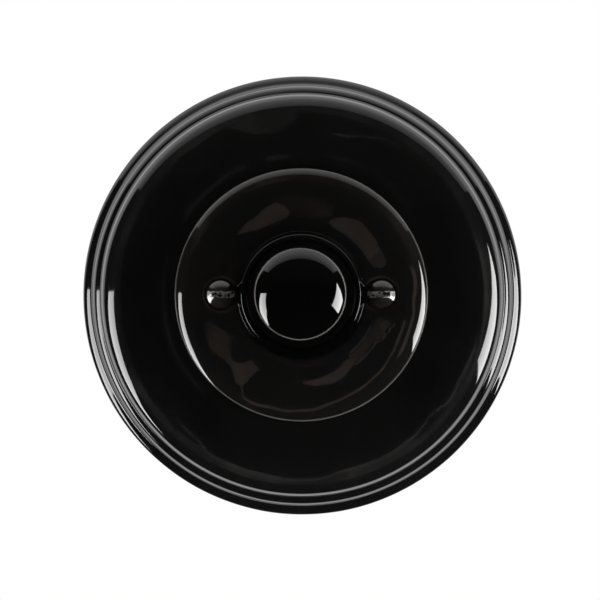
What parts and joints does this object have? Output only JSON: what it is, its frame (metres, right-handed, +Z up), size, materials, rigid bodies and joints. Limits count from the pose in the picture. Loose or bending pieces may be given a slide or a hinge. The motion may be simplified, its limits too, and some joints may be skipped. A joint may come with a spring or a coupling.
{
  "type": "rotary light dimmer",
  "caption": "Round black glazed porcelain wall dimmer: stepped rim, screwed centre cover, and a domed knob that turns to dim and is pushed to switch.",
  "frame": {"origin": "on the knob's axis, in the wall plane on which the frame's foot and the support plate lie", "axes": "+Z up, the front looks along -Y, +X to the right as seen from the front, +Y into the wall"},
  "size_m": [0.1, 0.0544, 0.1],
  "materials": {
    "black_porcelain": "deep black gloss glaze, slightly wavy",
    "lacquered_steel": "blackened and lacquered, worn bright at the slot",
    "nickel_plate": "bright nickel plate",
    "brass": "turned and stamped, bare",
    "steel": "turned and drawn, bare",
    "zinc_plate": "pressed steel sheet, bright zinc plate",
    "zinc_casting": "die-cast, satin",
    "housing_plastic": "moulded, fine spark texture",
    "pot_plastic": "moulded",
    "carbon_track": "printed carbon on laminate",
    "board": "glass-fibre laminate with solder mask",
    "switch_plastic": "moulded",
    "epoxy": "moulded package on a tinned tab",
    "silicone": "filled silicone sheet",
    "ferrite": "pressed and sintered",
    "copper": "enamelled wire",
    "capacitor_box": "moulded box, potted",
    "fuse_glass": "glass tube with plated caps"
  },
  "bodies": {
    "base": {"porcelain_frame": "black_porcelain", "porcelain_cover": "black_porcelain", "cover_screws": "lacquered_steel", "cover_pillars": "brass", "support_plate": "zinc_plate", "bushing": "zinc_casting", "bushing_nut": "nickel_plate", "housing_lid": "housing_plastic", "housing_tub": "housing_plastic", "housing_screws": "zinc_plate", "pot_cup": "pot_plastic", "pot_track": "carbon_track", "circuit_board": "board", "switch_case": "switch_plastic", "return_spring": "steel", "triac": "epoxy", "triac_pad": "silicone", "triac_screw": "zinc_plate", "choke_core": "ferrite", "choke_winding": "copper", "film_capacitor": "capacitor_box", "fuse": "fuse_glass", "fuse_clips": "nickel_plate", "terminal_clamps": "brass", "terminal_screws": "zinc_plate"},
    "plunger": {"switch_plunger": "switch_plastic"},
    "knob": {"knob": "black_porcelain", "knob_insert": "brass", "shaft": "steel", "retaining_ring": "steel"},
    "rotor": {"pot_rotor": "pot_plastic", "pot_wiper": "brass"}
  },
  "joints": [
    {"name": "knob_push", "type": "slide", "parent": "base", "child": "plunger", "axis": [0, 1, 0], "range_m": [0, 0.0015], "stiffness_N_per_m": 2000, "springref_m": -0.003, "deforming": ["return_spring"]},
    {"name": "knob_turn", "type": "hinge", "parent": "plunger", "child": "knob", "pos_m": [0, 0, 0], "axis": [0, 1, 0], "range_deg": [-150, 150]},
    {"name": "rotor_turn", "type": "hinge", "parent": "base", "child": "rotor", "pos_m": [0, 0, 0], "axis": [0, 1, 0], "range_deg": [-150, 150]}
  ],
  "couplings": [
    {"joint": "rotor_turn", "follows": "knob_turn", "ratio": 1}
  ]
}
